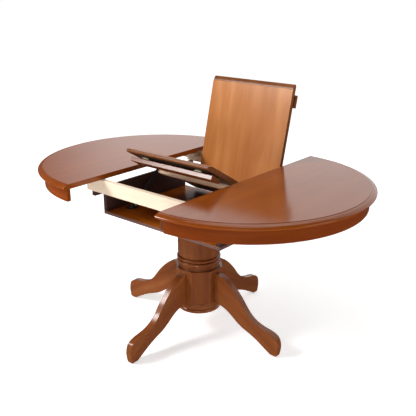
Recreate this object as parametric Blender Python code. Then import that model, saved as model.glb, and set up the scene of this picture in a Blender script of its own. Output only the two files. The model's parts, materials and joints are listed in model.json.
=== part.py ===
"""Round pedestal table that pulls apart for a folding centre leaf, with the leaf half unfolded.

Two half tops slide apart on wooden rails above a storage box, which stands on a turned pedestal with four legs.
The leaf has two panels hinged edge to edge. Its front panel hangs on two swing arms inside the box, and under each
panel's outer end an apron flap folds down to close the gap between the half aprons.

Metres, +Z up. The origin is on the floor under the pedestal. The halves part along X, the split faces run along Y.
Run with: blender --background --python part.py
"""

import math

import bmesh
import bpy
from mathutils import Matrix, Vector

MM = 0.001
GAP = 0.3 * MM  # between pieces that touch

# Top and apron
TOP_RADIUS = 533.5 * MM
TOP_HEIGHT = 762 * MM
TOP_THICK = 22 * MM
SPLIT_HALF = 255 * MM  # from the middle to each split face, pulled apart
APRON_INSET = 26.5 * MM  # from the top's outer edge to the apron
APRON_THICK = 18 * MM
APRON_DEPTH = 58 * MM
APRON_RECESS = 16 * MM  # from the split face back to the apron's end
ALIGNER_REACH = 25 * MM  # past the split face
ALIGNER_THICK = 20 * MM
ALIGNER_LENGTH = 65 * MM
ARC_STEPS = 36

# Rails and sliders
RAIL_INNER = 316 * MM  # from the middle to a rail's inner face, along Y
RAIL_THICK = 22 * MM
RAIL_DEPTH = 60 * MM
RAIL_HALF = 350 * MM
GROOVE_WIDTH = 11 * MM
GROOVE_DEPTH = 8 * MM
GROOVE_DROP = 16 * MM  # from the underside of the top to the groove
TONGUE_PLAY = 0.5 * MM
SLIDER_THICK = 22 * MM
SLIDER_DEPTH = 40 * MM
SLIDER_START = 280 * MM
SLIDER_MARGIN = 28.2 * MM  # from a slider's end to the apron

# Storage box
BOX_HALF_X = 335 * MM
BOX_HALF_Y = 262 * MM
BOX_DEPTH = 176 * MM  # from the underside of the top down to the box's floor
BOX_FLOOR_THICK = 14 * MM
BOX_END_THICK = 20 * MM
EAR_LAP = 8 * MM  # how far the box ends' ears reach under the rails
EAR_DEPTH = 27 * MM

# Pedestal
DRUM_RADIUS = 96 * MM
RING_RADIUS = 100 * MM
BLOCK_FLAT = 105 * MM  # from the axis to each flat of the octagon
BLOCK_TOP = 312 * MM
BLOCK_BOTTOM = 152 * MM
CAP_RADIUS = 106 * MM
CAP_BOTTOM = 103 * MM
CAVITY_RADIUS = 60 * MM
CAVITY_TOP = 280 * MM
TURNED_STEPS = 32

# Legs
LEG_THICK = 28 * MM
LEG_BEVEL = 3 * MM
GLIDE_RADIUS = 10 * MM
GLIDE_THICK = 4 * MM
FOOT_REACH = 457 * MM
FOOT_FLAT = 32 * MM  # length of the flat under the foot
FOOT_TOE = 7 * MM  # from the foremost point back to the flat

# Leaf
LEAF_HALF_WIDTH = 228.5 * MM
RAIL_CLEARANCE = 1.15 * MM  # between the rear panel and the rear rail
HINGE_DROP = 171.7 * MM  # from the top's face down to the leaf's centre hinge, in the box
FRONT_TILT = 31.1  # degrees that the front panel has still to turn
REAR_TILT = 76.2
BATTEN_THICK = 20 * MM
BATTEN_WIDTH = 36 * MM
FRONT_BATTEN_FROM_HINGE = 287 * MM
FRONT_BATTEN_HALF = 220 * MM
REAR_BATTEN_FROM_HINGE = 256 * MM
REAR_BATTEN_HALF = 212 * MM
CENTRE_HINGE_X = 150 * MM
CENTRE_HINGE_SIZE = (60 * MM, 16 * MM, 13.4 * MM)
CENTRE_HINGE_COVER = 4 * MM  # wood above the hinge

# Swing arms
ARM_PIVOT_HEIGHT = 21.806 * MM  # above the box's floor
ARM_INNER = 241 * MM
ARM_THICK = 6 * MM
ARM_WIDTH = 18 * MM
BRACKET_THICK = 4 * MM
BRACKET_WIDTH = 40 * MM
BRACKET_FOOT = 38 * MM
PIN_RADIUS = 4 * MM
PIN_HEAD_RADIUS = 7.5 * MM
PIN_HEAD = 2.7 * MM
HOLE_PLAY = 0.4 * MM

# Flaps, along the leaf from its centre hinge, and down from its top face
FLAP_PIN_INSET = 5 * MM  # from the flap's inner face to the pin
FLAP_PIN_DROP = 4.5 * MM  # from the leaf's underside to the pin
FLAP_TOP_GAP = 0.5 * MM
BARREL_RADIUS = 3.5 * MM
BUTT_LENGTH = 40 * MM
BUTT_WING = 22 * MM
BUTT_THICK = 2 * MM
BUTT_X = 150 * MM

# Fasteners
BOLT_RADIUS = 4 * MM
BOLT_HEAD_RADIUS = 9 * MM
BOLT_HEAD = 5 * MM
LEG_BOLT_Z = 232 * MM
LEG_BOLT_DEPTH = 42 * MM  # into the leg
LEG_BOLT_SEAT = 1 * MM  # from the cavity's wall to the bolt's head
COLUMN_BOLT_OFFSET = 55 * MM
COLUMN_BOLT_DEPTH = 55 * MM  # into the column

# Worked out from the sizes above
UNDERSIDE = TOP_HEIGHT - TOP_THICK
APRON_RADIUS = TOP_RADIUS - APRON_INSET
APRON_INNER = APRON_RADIUS - APRON_THICK
BOX_FLOOR_TOP = UNDERSIDE - BOX_DEPTH
BOX_FLOOR_BOTTOM = BOX_FLOOR_TOP - BOX_FLOOR_THICK
RAIL_BOTTOM = UNDERSIDE - GAP - RAIL_DEPTH
BOX_END_TOP = RAIL_BOTTOM - GAP
LEAF_LENGTH = TOP_RADIUS  # of one panel
HINGE_Z = TOP_HEIGHT - HINGE_DROP
PANEL_LEAN = (UNDERSIDE - GAP - HINGE_Z) / math.tan(math.radians(REAR_TILT))
HINGE_Y = RAIL_INNER - RAIL_CLEARANCE - PANEL_LEAN - TOP_THICK / math.sin(math.radians(REAR_TILT))
SLIDER_END = SPLIT_HALF + math.sqrt(APRON_INNER**2 - RAIL_INNER**2) - SLIDER_MARGIN
SLIDER_LENGTH = SLIDER_END - SLIDER_START
BATTEN_AXIS_DROP = TOP_THICK + GAP + BATTEN_THICK / 2
ARM_OUTER = ARM_INNER + ARM_THICK
BRACKET_INNER = ARM_OUTER + 1 * MM
FLAP_PIN_S = APRON_INNER - FLAP_PIN_INSET
FLAP_PIN_D = TOP_THICK + FLAP_PIN_DROP

# The moulded edge: how far in from the outermost radius, and how far below the top face
EDGE_PROFILE = [
    (24, 0), (22.5, 1.6), (20, 1.8), (12, 2.6), (6, 4.6), (2, 8), (0, 12), (1, 16.5), (4.5, 20.5), (7, 22),
]


def clear_scene():
    for obj in list(bpy.data.objects):
        bpy.data.objects.remove(obj, do_unlink=True)


def material(name, colour, roughness, metallic=0.0):
    mat = bpy.data.materials.new(name)
    mat.use_nodes = True
    shader = mat.node_tree.nodes["Principled BSDF"]
    shader.inputs["Base Color"].default_value = (*colour, 1)
    shader.inputs["Roughness"].default_value = roughness
    shader.inputs["Metallic"].default_value = metallic
    mat.diffuse_color = (*colour, 1)
    return mat


def add_object(name, bm, mat, parent=None, location=(0, 0, 0), rotation=(0, 0, 0)):
    """Turns a bmesh into a named object, with its faces pointing out."""
    bmesh.ops.recalc_face_normals(bm, faces=bm.faces)
    mesh = bpy.data.meshes.new(name)
    bm.to_mesh(mesh)
    bm.free()
    mesh.materials.append(mat)
    mesh.shade_smooth()
    mesh.set_sharp_from_angle(angle=math.radians(35))
    obj = bpy.data.objects.new(name, mesh)
    bpy.context.scene.collection.objects.link(obj)
    obj.location = location
    obj.rotation_euler = rotation
    obj.parent = parent
    return obj


def add_axis(name, location, tilt=0.0, parent=None):
    """An empty on a joint's axis, turned by tilt degrees about X."""
    empty = bpy.data.objects.new(name, None)
    bpy.context.scene.collection.objects.link(empty)
    empty.location = location
    empty.rotation_euler = (math.radians(tilt), 0, 0)
    empty.parent = parent
    return empty


def box_mesh(low, high):
    bm = bmesh.new()
    bmesh.ops.create_cube(bm, size=1)
    size = Vector(high) - Vector(low)
    middle = (Vector(high) + Vector(low)) / 2
    bmesh.ops.transform(bm, matrix=Matrix.Translation(middle) @ Matrix.Diagonal((*size, 1)), verts=bm.verts)
    return bm


def board(name, low, high, mat, parent=None):
    return add_object(name, box_mesh(low, high), mat, parent)


def prism_mesh(outline, start, end, place):
    """A straight prism: place(u, v, w) puts the outline's (u, v) at the distance w along the prism."""
    bm = bmesh.new()
    rings = [[bm.verts.new(place(u, v, w)) for u, v in outline] for w in (start, end)]
    bm.faces.new(rings[0])
    bm.faces.new(reversed(rings[1]))
    count = len(outline)
    for i in range(count):
        j = (i + 1) % count
        bm.faces.new((rings[0][i], rings[0][j], rings[1][j], rings[1][i]))
    return bm


def along_x(u, v, w):
    return (w, u, v)


def along_y(u, v, w):
    return (u, w, v)


def along_z(u, v, w):
    return (u, v, w)


def turned_mesh(profile, steps=TURNED_STEPS):
    """A solid of revolution about Z from (radius, z) points that start and end on the axis."""
    bm = bmesh.new()
    verts = [bm.verts.new((r, 0, z)) for r, z in profile]
    edges = [bm.edges.new(pair) for pair in zip(verts, verts[1:])]
    bmesh.ops.spin(bm, geom=verts + edges, axis=(0, 0, 1), cent=(0, 0, 0), steps=steps, angle=2 * math.pi)
    bmesh.ops.remove_doubles(bm, verts=bm.verts, dist=1e-6)
    return bm


def rod_mesh(sections, steps=16):
    """A stepped round rod along Z, from (radius, start, end) sections that follow each other."""
    profile = [(0, sections[0][1])]
    for radius, start, end in sections:
        profile += [(radius, start), (radius, end)]
    profile.append((0, sections[-1][2]))
    return turned_mesh(profile, steps)


def laid_on_x(bm):
    """Turns a mesh made along Z so that it runs along X."""
    bmesh.ops.rotate(bm, verts=bm.verts, cent=(0, 0, 0), matrix=Matrix.Rotation(math.pi / 2, 3, "Y"))
    return bm


def cut(obj, bm, name, operation="DIFFERENCE", parent=None, location=(0, 0, 0), rotation=(0, 0, 0)):
    """Adds a Boolean to obj, with a hidden helper made from bm."""
    helper = add_object(name, bm, obj.data.materials[0], parent, location, rotation)
    helper.hide_render = True
    helper.display_type = "WIRE"
    modifier = obj.modifiers.new(name, "BOOLEAN")
    modifier.operation = operation
    modifier.object = helper
    modifier.solver = "EXACT"


def smooth_path(points, steps):
    """Points along a Catmull-Rom curve through the given points."""
    padded = [points[0], *points, points[-1]]
    path = []
    for a, b, c, d in zip(padded, padded[1:], padded[2:], padded[3:]):
        a, b, c, d = (Vector(p) for p in (a, b, c, d))
        for k in range(steps):
            t = k / steps
            path.append(
                0.5 * ((2 * b) + (c - a) * t + (2 * a - 5 * b + 4 * c - d) * t**2
                       + (3 * b - a - 3 * c + d) * t**3)
            )
    path.append(Vector(points[-1]))
    return [(p.x, p.y) for p in path]


# Top halves: everything on a half is modelled about the centre of its half circle


def half_disc_mesh(side, profile):
    """A half disc on the given side of its split face. The profile is (radius, z), down the outside."""
    bm = bmesh.new()
    rings = []
    for k in range(ARC_STEPS + 1):
        angle = math.pi * (k / ARC_STEPS - 0.5)
        across = 0 if k in (0, ARC_STEPS) else math.cos(angle)
        rings.append([bm.verts.new((side * r * across, r * math.sin(angle), z)) for r, z in profile])
    for a, b in zip(rings, rings[1:]):
        for i in range(len(profile) - 1):
            bm.faces.new((a[i], a[i + 1], b[i + 1], b[i]))
    bm.faces.new([ring[0] for ring in rings])
    bm.faces.new([ring[-1] for ring in rings])
    bm.faces.new(rings[0] + rings[-1][::-1])
    return bm


def half_ring_mesh(side, inner, outer, bottom, top, recess):
    """A half ring of square section, whose ends stand back from the split face by the recess."""
    section = [(inner, bottom), (outer, bottom), (outer, top), (inner, top)]
    bm = bmesh.new()
    rings = []
    for k in range(ARC_STEPS + 1):
        ring = []
        for r, z in section:
            angle = math.acos(recess / r) * (2 * k / ARC_STEPS - 1)
            ring.append(bm.verts.new((side * r * math.cos(angle), r * math.sin(angle), z)))
        rings.append(ring)
    for a, b in zip(rings, rings[1:]):
        for i in range(4):
            j = (i + 1) % 4
            bm.faces.new((a[i], a[j], b[j], b[i]))
    bm.faces.new(rings[0])
    bm.faces.new(rings[-1])
    return bm


def make_half(name, side, stain, raw):
    """One half of the top with its apron and its two sliders."""
    origin = add_axis(f"{name}_half", (side * SPLIT_HALF, 0, 0))
    profile = [(TOP_RADIUS - x * MM, TOP_HEIGHT - z * MM * TOP_THICK / (22 * MM)) for x, z in EDGE_PROFILE]
    add_object(f"top_{name}", half_disc_mesh(side, profile), stain, origin)
    apron_top = UNDERSIDE - GAP
    ring = half_ring_mesh(side, APRON_INNER, APRON_RADIUS, apron_top - APRON_DEPTH, apron_top, APRON_RECESS)
    add_object(f"apron_{name}", ring, stain, origin)
    for where, sign in (("front", -1), ("rear", 1)):
        make_slider(f"slider_{name}_{where}", side, sign, raw, origin)
    return origin


def make_slider(name, side, sign, raw, origin):
    face = RAIL_INNER - GAP
    back = face - SLIDER_THICK
    tip = RAIL_INNER + GROOVE_DEPTH - TONGUE_PLAY
    top = UNDERSIDE - GAP
    tongue_top = UNDERSIDE - GROOVE_DROP - TONGUE_PLAY
    tongue_bottom = UNDERSIDE - GROOVE_DROP - GROOVE_WIDTH + TONGUE_PLAY
    outline = [
        (back, top), (face, top), (face, tongue_top), (tip, tongue_top),
        (tip, tongue_bottom), (face, tongue_bottom), (face, top - SLIDER_DEPTH), (back, top - SLIDER_DEPTH),
    ]
    start = SLIDER_START - SPLIT_HALF
    bm = prism_mesh([(sign * u, v) for u, v in outline], side * start, side * (start + SLIDER_LENGTH), along_x)
    add_object(name, bm, raw, origin)


def make_aligner(name, side, sign, stain, origin):
    """A round-nosed block behind an apron's end, which guides the flap or the other apron into line."""
    outer = APRON_INNER - 2.5 * MM
    radius = ALIGNER_THICK / 2
    nose = -ALIGNER_REACH + radius
    outline = [
        (nose - radius * math.sin(a), outer - radius + radius * math.cos(a))
        for a in (math.pi * k / 8 for k in range(9))
    ]
    tail = ALIGNER_LENGTH - ALIGNER_REACH
    outline += [(tail, outer - ALIGNER_THICK), (tail, outer)]
    top = UNDERSIDE - GAP
    bm = prism_mesh([(side * u, sign * v) for u, v in outline], top - APRON_DEPTH, top, along_z)
    add_object(name, bm, stain, origin)


# Frame between the halves


def make_rails(raw):
    for where, sign in (("front", -1), ("rear", 1)):
        inner, outer = RAIL_INNER, RAIL_INNER + RAIL_THICK
        top = UNDERSIDE - GAP
        groove_top = UNDERSIDE - GROOVE_DROP
        groove_bottom = groove_top - GROOVE_WIDTH
        groove = inner + GROOVE_DEPTH
        outline = [
            (inner, top), (outer, top), (outer, RAIL_BOTTOM), (inner, RAIL_BOTTOM),
            (inner, groove_bottom), (groove, groove_bottom), (groove, groove_top), (inner, groove_top),
        ]
        bm = prism_mesh([(sign * u, v) for u, v in outline], -RAIL_HALF, RAIL_HALF, along_x)
        add_object(f"rail_{where}", bm, raw)


def make_box(dark):
    floor = board(
        "box_floor", (-BOX_HALF_X, -BOX_HALF_Y, BOX_FLOOR_BOTTOM), (BOX_HALF_X, BOX_HALF_Y, BOX_FLOOR_TOP), dark
    )
    bottom = BOX_FLOOR_TOP + GAP
    ear, ear_bottom = RAIL_INNER + EAR_LAP, BOX_END_TOP - EAR_DEPTH
    outline = [
        (-BOX_HALF_Y, bottom), (BOX_HALF_Y, bottom), (BOX_HALF_Y, ear_bottom), (ear, ear_bottom),
        (ear, BOX_END_TOP), (-ear, BOX_END_TOP), (-ear, ear_bottom), (-BOX_HALF_Y, ear_bottom),
    ]
    for name, side in (("left", -1), ("right", 1)):
        bm = prism_mesh(outline, side * (BOX_HALF_X - BOX_END_THICK), side * BOX_HALF_X, along_x)
        add_object(f"box_end_{name}", bm, dark)
    return floor


def make_column_bolts(floor, column, steel):
    """Four bolts hold the box's floor down on the column."""
    head = BOX_FLOOR_TOP + GAP
    tip = BOX_FLOOR_BOTTOM - COLUMN_BOLT_DEPTH
    for number, (x, y) in enumerate(((1, 1), (-1, 1), (-1, -1), (1, -1)), 1):
        place = (x * COLUMN_BOLT_OFFSET, y * COLUMN_BOLT_OFFSET, 0)
        bm = rod_mesh([(BOLT_RADIUS, tip, head), (BOLT_HEAD_RADIUS, head, head + BOLT_HEAD)], 12)
        add_object(f"column_bolt_{number}", bm, steel, location=place)
        for target in (floor, column):
            hole = rod_mesh([(BOLT_RADIUS + HOLE_PLAY, tip - GAP, head)], 12)
            cut(target, hole, f"hole_{target.name}_{number}", location=place)


# Pedestal


def make_column(stain):
    top = BOX_FLOOR_BOTTOM - GAP
    groove = RING_RADIUS - 9 * MM
    profile = [(0, BLOCK_TOP - 8 * MM), (BLOCK_FLAT - 8 * MM, BLOCK_TOP - 8 * MM), (BLOCK_FLAT - 8 * MM, BLOCK_TOP)]
    profile += [(RING_RADIUS - 10 * MM, BLOCK_TOP + 9 * MM), (groove, BLOCK_TOP + 14 * MM)]
    for low, high in ((16, 35), (39, 52)):  # two rings above the block
        centre = BLOCK_TOP + (low + high) / 2 * MM
        half = (high - low) / 2 * MM
        for k in range(5):
            angle = math.pi * (k / 4 - 0.5)
            profile.append((groove + 9 * MM * math.cos(angle), centre + half * math.sin(angle)))
    profile += [(DRUM_RADIUS - 3 * MM, BLOCK_TOP + 56 * MM), (DRUM_RADIUS, BLOCK_TOP + 66 * MM)]
    profile += [(DRUM_RADIUS, top - 3 * MM), (DRUM_RADIUS - 3 * MM, top), (0, top)]
    column = add_object("pedestal_column", turned_mesh(profile), stain)
    corner = BLOCK_FLAT / math.cos(math.pi / 8)
    octagon = [(corner * math.cos(a), corner * math.sin(a)) for a in (math.pi * (k + 0.5) / 4 for k in range(8))]
    cut(column, prism_mesh(octagon, BLOCK_BOTTOM, BLOCK_TOP, along_z), "block", "UNION")
    cavity = rod_mesh([(CAVITY_RADIUS, BLOCK_BOTTOM - 10 * MM, CAVITY_TOP)], 24)
    cut(column, cavity, "cavity")
    return column


def make_cap(stain):
    top = BLOCK_BOTTOM - GAP
    groove = CAP_BOTTOM + 21 * MM
    profile = [
        (0, CAP_BOTTOM), (CAP_RADIUS - 12 * MM, CAP_BOTTOM), (CAP_RADIUS - 6 * MM, CAP_BOTTOM + 3 * MM),
        (CAP_RADIUS - 3 * MM, CAP_BOTTOM + 9 * MM), (CAP_RADIUS - 5 * MM, groove - 3 * MM),
        (CAP_RADIUS - 9 * MM, groove), (CAP_RADIUS - 2 * MM, groove + 4 * MM),
        (CAP_RADIUS, top - 8 * MM), (CAP_RADIUS - 4 * MM, top), (0, top),
    ]
    add_object("base_cap", turned_mesh(profile), stain)


def leg_outline():
    """The side of a leg: distance from the pedestal's axis, and height."""
    root = BLOCK_FLAT + GAP
    sole = GLIDE_THICK + GAP
    heel = FOOT_REACH - FOOT_TOE - FOOT_FLAT
    reach = FOOT_REACH / (457 * MM)
    upper = [(135, 292), (162, 284), (192, 263), (220, 237), (250, 204), (280, 165), (310, 137), (340, 121)]
    upper += [(372, 112), (406, 106), (433, 97), (450, 81)]
    lower = [(378, 27), (350, 43), (320, 58), (290, 70), (258, 83), (229, 100), (198, 122), (165, 140)]
    top = [(root, 295 * MM)] + [(r * MM * reach, z * MM) for r, z in upper]
    top += [(FOOT_REACH, 50 * MM), (FOOT_REACH - 4 * MM, 18 * MM), (FOOT_REACH - FOOT_TOE, sole)]
    bottom = [(heel, sole)] + [(r * MM * reach, z * MM) for r, z in lower] + [(root, 158 * MM)]
    return smooth_path(top, 2) + smooth_path(bottom, 2)


def make_leg(name, turn, column, stain, steel, plastic):
    """A leg, turned about the axis from +X, with its bolt through the column's wall and the glide under its foot."""
    rotation = (0, 0, turn)
    bm = prism_mesh(leg_outline(), -LEG_THICK / 2, LEG_THICK / 2, along_y)
    leg = add_object(f"leg_{name}", bm, stain, rotation=rotation)
    head = math.sqrt(CAVITY_RADIUS**2 - BOLT_HEAD_RADIUS**2) - LEG_BOLT_SEAT
    tip = BLOCK_FLAT + LEG_BOLT_DEPTH
    place = (0, 0, LEG_BOLT_Z)
    bolt = laid_on_x(rod_mesh([(BOLT_HEAD_RADIUS, head - BOLT_HEAD, head), (BOLT_RADIUS, head, tip)], 12))
    add_object(f"leg_bolt_{name}", bolt, steel, location=place, rotation=rotation)
    for target, start, end in ((column, head - BOLT_HEAD, BLOCK_FLAT + GAP), (leg, BLOCK_FLAT, tip + GAP)):
        hole = laid_on_x(rod_mesh([(BOLT_RADIUS + HOLE_PLAY, start, end)], 12))
        cut(target, hole, f"hole_{target.name}_{name}", location=place, rotation=rotation)
    bevel = leg.modifiers.new("arrises", "BEVEL")
    bevel.width = LEG_BEVEL
    bevel.segments = 1
    bevel.limit_method = "ANGLE"
    bevel.angle_limit = math.radians(60)
    leg.modifiers.move(1, 0)
    foot = FOOT_REACH - FOOT_TOE - FOOT_FLAT / 2
    spot = (foot * math.cos(turn), foot * math.sin(turn), 0)
    add_object(f"foot_glide_{name}", rod_mesh([(GLIDE_RADIUS, 0, GLIDE_THICK)], 20), plastic, location=spot)


# Leaf. In a panel's own frame the centre hinge is at y = 0 and the top face at z = 0. The front panel runs to -y.


def flat_position(s, d):
    """The world (y, z) of a point on the front panel when the leaf lies flat."""
    return Vector((-s, TOP_HEIGHT - d))


def turned_by(y, z, tilt):
    angle = math.radians(tilt)
    return Vector((y * math.cos(angle) - z * math.sin(angle), y * math.sin(angle) + z * math.cos(angle)))


def arm_geometry():
    """The frame pivot and the leaf pivot, as (y, z). Both ends of the swing are as far from the frame pivot."""
    rest = Vector((HINGE_Y, HINGE_Z)) + turned_by(-FRONT_BATTEN_FROM_HINGE, -BATTEN_AXIS_DROP, -FRONT_TILT)
    flat = flat_position(FRONT_BATTEN_FROM_HINGE, BATTEN_AXIS_DROP)
    height = BOX_FLOOR_TOP + ARM_PIVOT_HEIGHT
    spread = flat.x**2 - rest.x**2 + (flat.y - height) ** 2 - (rest.y - height) ** 2
    return Vector((spread / (2 * (flat.x - rest.x)), height)), rest


def make_panel(name, sign, axis, shift, wood):
    """A leaf panel from its centre hinge to its moulded end. shift is the hinge's place in the axis' frame."""
    edge = [(LEAF_LENGTH - x * MM, -z * MM * TOP_THICK / (22 * MM)) for x, z in EDGE_PROFILE]
    outline = [(GAP, 0), *edge, (GAP, -TOP_THICK)]
    outline = [(sign * u + shift[0], v + shift[1]) for u, v in outline]
    bm = prism_mesh(outline, -LEAF_HALF_WIDTH, LEAF_HALF_WIDTH, along_x)
    return add_object(name, bm, wood, axis)


def make_centre_hinges(panel, where, sign, axis, shift, brass):
    """Concealed hinges let into the panel's inner edge, which fold about its top face."""
    length, reach, depth = CENTRE_HINGE_SIZE
    for name, side in (("left", -1), ("right", 1)):
        low_y, high_y = sorted((sign * 2 * GAP + shift[0], sign * (2 * GAP + reach) + shift[0]))
        top = shift[1] - CENTRE_HINGE_COVER
        x = side * CENTRE_HINGE_X
        low, high = Vector((x - length / 2, low_y, top - depth)), Vector((x + length / 2, high_y, top))
        board(f"centre_hinge_{where}_{name}", low, high, brass, axis)
        play = Vector((GAP, GAP, GAP))
        opening = Vector((0, 5 * MM, 0))
        low, high = low - play, high + play
        low, high = (low - opening, high) if sign > 0 else (low, high + opening)
        cut(panel, box_mesh(low, high), f"mortise_{where}_{name}", parent=axis)


def make_batten(name, sign, middle, half, axis, shift, raw):
    top = shift[1] - TOP_THICK - GAP
    low_y, high_y = sorted(sign * (middle + k * BATTEN_WIDTH / 2) + shift[0] for k in (-1, 1))
    return board(name, (-half, low_y, top - BATTEN_THICK), (half, high_y, top), raw, axis)


def make_flap(where, sign, axis, shift, wood, brass):
    """An apron flap folded flat under the panel, and the two butt hinges that carry it."""
    pin = Vector((0, sign * FLAP_PIN_S + shift[0], -FLAP_PIN_D + shift[1]))
    flap_axis = add_axis(f"flap_axis_{where}", pin, parent=axis)
    edge = FLAP_PIN_DROP - FLAP_TOP_GAP  # past the pin, towards the panel's end
    far = APRON_DEPTH + GAP - edge - FLAP_TOP_GAP
    low_y, high_y = sorted((sign * edge, -sign * far))
    low = (-LEAF_HALF_WIDTH, low_y, -FLAP_PIN_INSET - APRON_THICK)
    board(f"apron_flap_{where}", low, (LEAF_HALF_WIDTH, high_y, -FLAP_PIN_INSET), wood, flap_axis)
    wing_top = FLAP_PIN_DROP - GAP
    wing_bottom = wing_top - BUTT_THICK
    start = math.asin(wing_bottom / BARREL_RADIUS)
    outline = [(-BUTT_WING, wing_bottom), (-BUTT_WING, wing_top), (0, wing_top)]
    outline += [
        (BARREL_RADIUS * math.sin(a), BARREL_RADIUS * math.cos(a))
        for a in (math.pi * (k / 6) for k in range(1, 7))
    ]
    outline += [(-BARREL_RADIUS * math.cos(a), BARREL_RADIUS * math.sin(a)) for a in (-math.pi / 4, 0, start)]
    for name, side in (("left", -1), ("right", 1)):
        x = side * BUTT_X
        bm = prism_mesh([(sign * u, v) for u, v in outline], x - BUTT_LENGTH / 2, x + BUTT_LENGTH / 2, along_x)
        add_object(f"flap_hinge_{where}_{name}", bm, brass, axis, location=pin)


def make_arms(frame, rest, batten, batten_axis, steel):
    """A swing arm on each side, between its bracket on the box's floor and the end of the front batten."""
    lift_axis = add_axis("leaf_lift_axis", (0, frame.x, frame.y))
    reach = rest - frame
    length, angle = reach.length, math.atan2(reach.y, reach.x)
    half = ARM_WIDTH / 2
    outline = [(length + half * math.sin(a), half * math.cos(a)) for a in (math.pi * k / 6 for k in range(7))]
    outline += [(-half * math.sin(a), -half * math.cos(a)) for a in (math.pi * k / 6 for k in range(7))]
    batten_end = FRONT_BATTEN_HALF
    for name, side in (("left", -1), ("right", 1)):
        bm = prism_mesh(outline, side * ARM_INNER, side * ARM_OUTER, along_x)
        arm = add_object(f"swing_arm_{name}", bm, steel, lift_axis, rotation=(angle, 0, 0))
        bracket = make_bracket(name, side, frame, steel)
        outer = BRACKET_INNER + BRACKET_THICK
        pin = [
            (PIN_HEAD_RADIUS, ARM_INNER - GAP - PIN_HEAD, ARM_INNER - GAP),
            (PIN_RADIUS, ARM_INNER - GAP, outer + GAP),
            (PIN_HEAD_RADIUS, outer + GAP, outer + GAP + PIN_HEAD),
        ]
        turn = (0, 0, 0 if side > 0 else math.pi)
        add_object(f"bracket_pin_{name}", laid_on_x(rod_mesh(pin, 12)), steel, lift_axis, rotation=turn)
        pin = [
            (PIN_RADIUS, batten_end - 18 * MM, ARM_OUTER + GAP),
            (PIN_HEAD_RADIUS, ARM_OUTER + GAP, ARM_OUTER + GAP + PIN_HEAD),
        ]
        add_object(f"batten_pin_{name}", laid_on_x(rod_mesh(pin, 12)), steel, batten_axis, rotation=turn)
        near, far = sorted((side * (batten_end - 18 * MM - GAP), side * (outer + 10 * MM)))

        def hole():
            return laid_on_x(rod_mesh([(PIN_RADIUS + HOLE_PLAY, near, far)], 12))

        cut(arm, hole(), f"hole_arm_frame_{name}", parent=lift_axis)
        cut(arm, hole(), f"hole_arm_leaf_{name}", location=(0, rest.x, rest.y))
        cut(bracket, hole(), f"hole_bracket_{name}", parent=lift_axis)
        cut(batten, hole(), f"hole_batten_{name}", parent=batten_axis)


def make_bracket(name, side, frame, steel):
    """An angle bracket that stands on the box's floor."""
    foot = BOX_FLOOR_TOP + GAP
    top = frame.y + ARM_WIDTH / 2 + 3 * MM
    outer = BRACKET_INNER + BRACKET_THICK
    outline = [
        (BRACKET_INNER, foot), (BRACKET_INNER + BRACKET_FOOT, foot),
        (BRACKET_INNER + BRACKET_FOOT, foot + BRACKET_THICK), (outer, foot + BRACKET_THICK),
        (outer, top), (BRACKET_INNER, top),
    ]
    middle = frame.x
    outline = [(side * u, v) for u, v in outline]
    bm = prism_mesh(outline, middle - BRACKET_WIDTH / 2, middle + BRACKET_WIDTH / 2, along_y)
    return add_object(f"arm_bracket_{name}", bm, steel)


def make_leaf(wood, raw, steel, brass):
    frame, rest = arm_geometry()
    front_axis = add_axis("leaf_front_axis", (0, rest.x, rest.y), -FRONT_TILT)
    front_shift = (FRONT_BATTEN_FROM_HINGE, BATTEN_AXIS_DROP)
    rear_axis = add_axis("leaf_rear_axis", (0, HINGE_Y, HINGE_Z), REAR_TILT)
    rear_shift = (0, 0)
    for where, sign, axis, shift in (
        ("front", -1, front_axis, front_shift), ("rear", 1, rear_axis, rear_shift),
    ):
        panel = make_panel(f"leaf_panel_{where}", sign, axis, shift, wood)
        make_centre_hinges(panel, where, sign, axis, shift, brass)
        make_flap(where, sign, axis, shift, wood, brass)
    batten = make_batten(
        "leaf_batten_front", -1, FRONT_BATTEN_FROM_HINGE, FRONT_BATTEN_HALF, front_axis, front_shift, raw
    )
    make_batten("leaf_batten_rear", 1, REAR_BATTEN_FROM_HINGE, REAR_BATTEN_HALF, rear_axis, rear_shift, raw)
    make_arms(frame, rest, batten, front_axis, steel)


def main():
    clear_scene()
    stain = material("stained_wood", (0.30, 0.105, 0.032), 0.32)
    leaf_wood = material("leaf_wood", (0.42, 0.16, 0.045), 0.3)
    dark = material("dark_wood", (0.045, 0.018, 0.012), 0.4)
    raw = material("raw_wood", (0.72, 0.58, 0.42), 0.6)
    steel = material("black_steel", (0.05, 0.05, 0.055), 0.4, 1.0)
    brass = material("hinge_brass", (0.45, 0.40, 0.28), 0.4, 1.0)
    plastic = material("glide_plastic", (0.05, 0.04, 0.035), 0.6)

    make_half("left", -1, stain, raw)
    right = make_half("right", 1, stain, raw)
    for where, sign in (("front", -1), ("rear", 1)):
        make_aligner(f"apron_aligner_{where}", 1, sign, stain, right)
    make_rails(raw)
    floor = make_box(dark)
    column = make_column(stain)
    make_column_bolts(floor, column, steel)
    make_cap(stain)
    for name, turn in (("right", 0), ("rear", 90), ("left", 180), ("front", 270)):
        make_leg(name, math.radians(turn), column, stain, steel, plastic)
    make_leaf(leaf_wood, raw, steel, brass)


main()
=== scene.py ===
"""Looks of a round pedestal table with a folding centre leaf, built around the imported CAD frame.

Every wooden node is rebuilt with finer mouldings, rounded arrises and a grain that follows the board.
Metal nodes get eased edges, and screw heads are added. Every piece rides on a CAD body. Metres, +Z up.
"""

import json
import math

import bmesh
import bpy
import numpy as np
from mathutils import Matrix, Vector

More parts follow.
